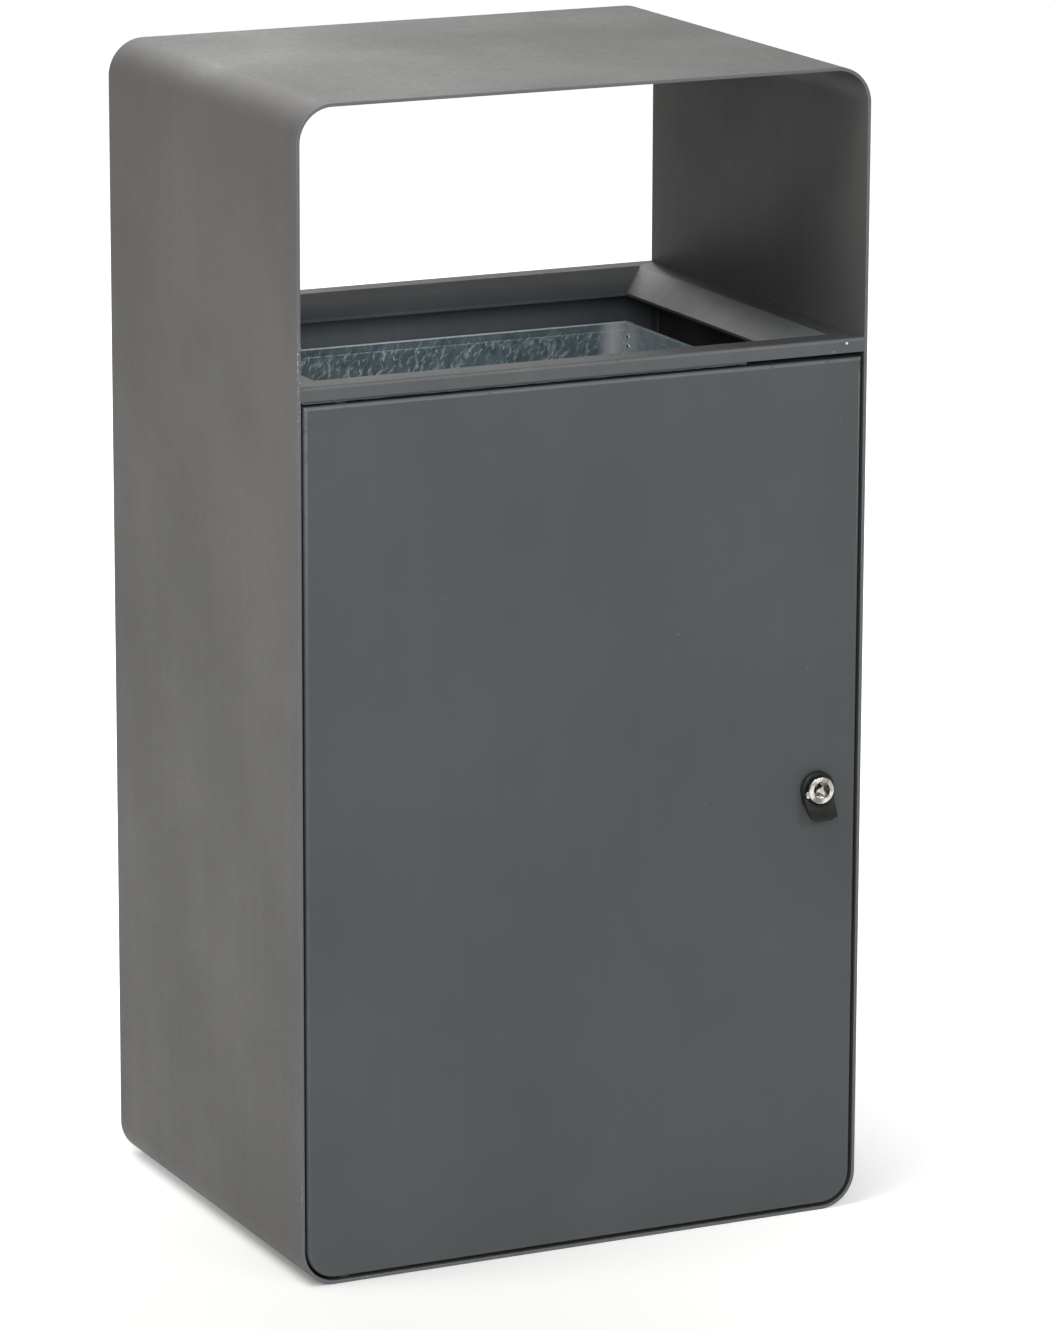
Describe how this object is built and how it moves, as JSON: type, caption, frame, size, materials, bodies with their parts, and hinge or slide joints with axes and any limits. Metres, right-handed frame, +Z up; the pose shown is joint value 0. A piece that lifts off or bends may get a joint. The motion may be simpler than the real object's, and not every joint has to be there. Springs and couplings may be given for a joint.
{
  "type": "metal waste bin",
  "caption": "Upright street waste bin: bent steel hoop with an open throw-in window, sloped deck, lockable front door on concealed pivots and a lift-out galvanised liner.",
  "frame": {"origin": "centre of the four floor anchor holes, on the underside of the hoop's floor, where the bin stands", "axes": "+Z up, +Y to the back (the door and the front rail face -Y), +X to the right seen from the front"},
  "size_m": [0.525, 0.4184, 1],
  "materials": {
    "hoop_coat": "warm grey fine-texture powder coat",
    "deck_coat": "grey fine-texture powder coat",
    "panel_coat": "grey fine-texture powder coat",
    "door_coat": "cool grey fine-texture powder coat",
    "galvanised_sheet": "hot-dip galvanised, flaked spangle",
    "rivet_metal": "bare blind rivets",
    "plated_steel": "zinc plated",
    "lock_chrome": "polished, slightly weathered",
    "black_plastic": "fine matt moulded",
    "bush_plastic": "smooth moulded",
    "buffer_rubber": "matt"
  },
  "bodies": {
    "cabinet": {"outer_hoop": "hoop_coat", "funnel_deck": "deck_coat", "rear_panel": "panel_coat", "apron_rivet_row": "panel_coat", "liner_shelf": "galvanised_sheet", "top_pivot_block": "plated_steel", "top_pivot_pin": "panel_coat", "bottom_pivot_pin": "panel_coat", "door_stop": "panel_coat", "door_buffers": "buffer_rubber"},
    "door": {"door_panel": "door_coat", "door_stiffener": "door_coat", "top_pivot_plate": "plated_steel", "bottom_pivot_plate": "plated_steel", "top_bush": "bush_plastic", "bottom_bush": "bush_plastic", "finger_pull": "black_plastic", "lock_housing": "lock_chrome", "lock_washer": "plated_steel", "lock_nut": "plated_steel"},
    "lock_barrel": {"lock_insert": "lock_chrome", "lock_cam": "plated_steel", "cam_washer": "plated_steel", "cam_screw": "plated_steel"},
    "liner": {"liner_wrap": "galvanised_sheet", "liner_rear_wall": "galvanised_sheet", "liner_floor": "galvanised_sheet", "liner_rivets": "rivet_metal", "liner_handle": "galvanised_sheet"}
  },
  "joints": [
    {"name": "door_hinge", "type": "hinge", "parent": "cabinet", "child": "door", "pos_m": [-0.2225, -0.191, 0.379], "axis": [0, 0, -1], "range_deg": [0, 110]},
    {"name": "lock_turn", "type": "hinge", "parent": "door", "child": "lock_barrel", "pos_m": [0.2195, -0.19, 0.38], "axis": [0, -1, 0], "range_deg": [0, 90]},
    {"name": "liner_lift", "type": "slide", "parent": "cabinet", "child": "liner", "axis": [0, 0, 1], "range_m": [0, 0.015]}
  ]
}
